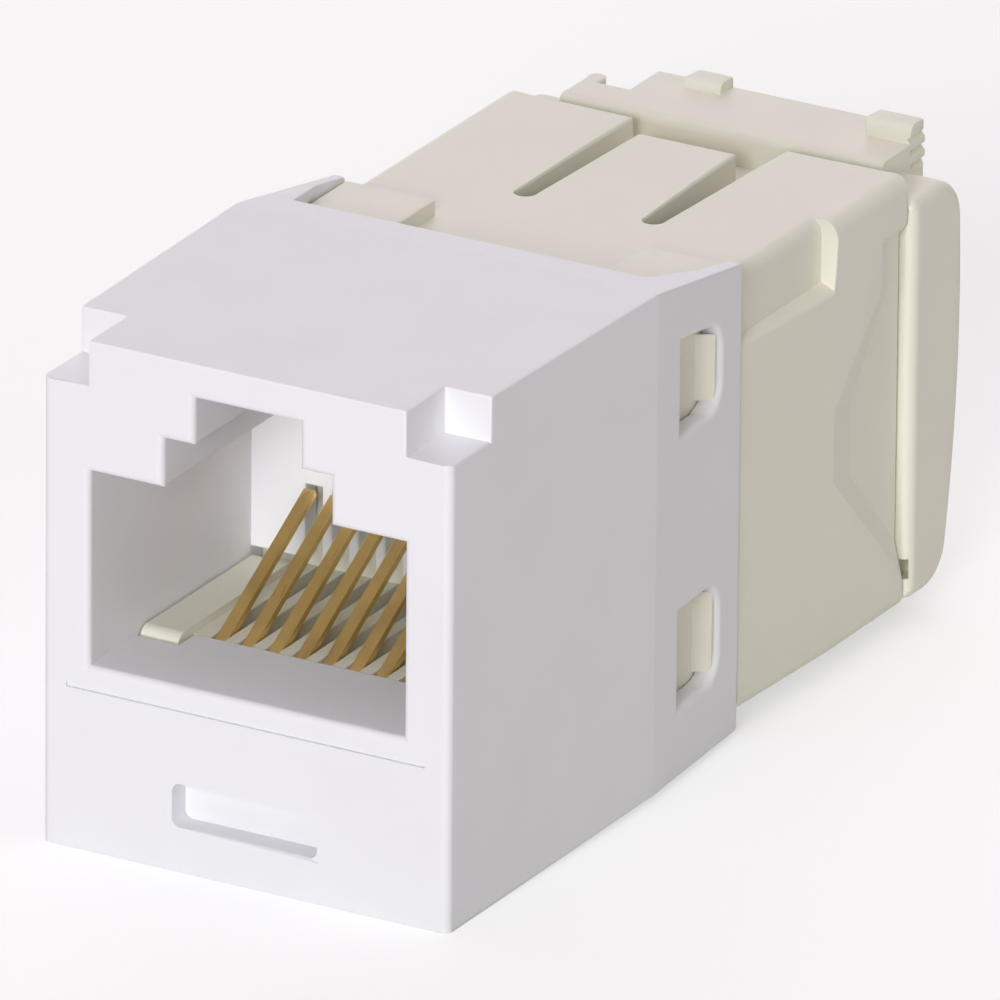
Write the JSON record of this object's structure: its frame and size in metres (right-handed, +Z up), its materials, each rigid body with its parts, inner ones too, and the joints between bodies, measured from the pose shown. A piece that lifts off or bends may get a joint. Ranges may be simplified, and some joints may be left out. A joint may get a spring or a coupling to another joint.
{
  "type": "ethernet jack",
  "caption": "Snap-in ethernet jack: white housing with a plug port and spring contacts, ivory rear body and a pull-off wire cap with a cable entry.",
  "frame": {"origin": "middle of the box round the jack, at the height of the housing's foot", "axes": "+X across the face, +Y from the face to the cable entry, +Z up, with the latch way at the top"},
  "size_m": [0.016, 0.0352, 0.0181],
  "materials": {
    "white_plastic": "satin moulded",
    "ivory_plastic": "satin moulded",
    "gold_contact": "gold plated",
    "tinned_contact": "tin plated",
    "board_laminate": "solder mask"
  },
  "bodies": {
    "jack": {"front_housing": "white_plastic", "contact_sled": "ivory_plastic", "plug_contact_1": "gold_contact", "plug_contact_2": "gold_contact", "plug_contact_3": "gold_contact", "plug_contact_4": "gold_contact", "plug_contact_5": "gold_contact", "plug_contact_6": "gold_contact", "plug_contact_7": "gold_contact", "plug_contact_8": "gold_contact", "circuit_board": "board_laminate", "idc_contact_1": "tinned_contact", "idc_contact_2": "tinned_contact", "idc_contact_3": "tinned_contact", "idc_contact_4": "tinned_contact", "idc_contact_5": "tinned_contact", "idc_contact_6": "tinned_contact", "idc_contact_7": "tinned_contact", "idc_contact_8": "tinned_contact", "rear_body": "ivory_plastic"},
    "cap": {"wire_cap": "ivory_plastic"}
  },
  "joints": [
    {"name": "cap_slide", "type": "slide", "parent": "jack", "child": "cap", "axis": [0, 1, 0], "range_m": [0, 0.0055]}
  ]
}
